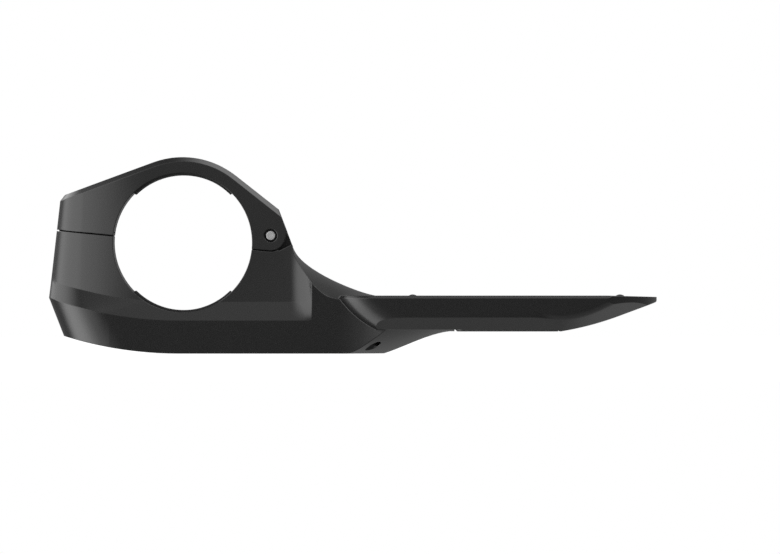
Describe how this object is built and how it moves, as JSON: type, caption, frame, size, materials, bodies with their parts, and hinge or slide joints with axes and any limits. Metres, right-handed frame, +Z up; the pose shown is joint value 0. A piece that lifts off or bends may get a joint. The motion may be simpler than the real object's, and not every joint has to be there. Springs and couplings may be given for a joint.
{
  "type": "bike computer mount",
  "caption": "Out-front bike computer mount: hinged handlebar clamp with grip pads, curved neck and a long platform with a quarter-turn lock ring on top.",
  "frame": {"origin": "centre of the handlebar bore, halfway along its length", "axes": "+X forward from the handlebar to the platform's nose, +Y along the handlebar, +Z up"},
  "size_m": [0.1432, 0.05, 0.0462],
  "materials": {
    "black_nylon": "satin",
    "ring_nylon": "satin",
    "pad_rubber": "matt",
    "pin_steel": "satin",
    "black_steel": "satin",
    "insert_brass": "satin"
  },
  "bodies": {
    "base": {"mount_body": "black_nylon", "clamp_heel": "black_nylon", "platform_deck": "black_nylon", "lower_grip_pad": "pad_rubber", "twist_lock_ring": "ring_nylon", "ring_screws": "black_steel", "underside_cover": "ring_nylon", "cover_screws": "black_steel", "rest_bumpers": "pad_rubber", "keel_inserts": "insert_brass"},
    "upper_jaw": {"top_clamp": "black_nylon", "upper_grip_pad": "pad_rubber", "hinge_pin": "pin_steel", "clamp_nut": "pin_steel"},
    "bolt_set": {"clamp_bolt": "black_steel", "bolt_washer": "pin_steel"}
  },
  "joints": [
    {"name": "clamp_hinge", "type": "hinge", "parent": "base", "child": "upper_jaw", "pos_m": [0.02074, 0, 0.00163], "axis": [0, 1, 0], "range_deg": [0, 60]},
    {"name": "bolt_travel", "type": "slide", "parent": "base", "child": "bolt_set", "axis": [0, 0, -1], "range_m": [0, 0.0126]}
  ],
  "couplings": [
    {"joint": "bolt_travel", "follows": "clamp_hinge", "m_per_rad": 0.012}
  ]
}
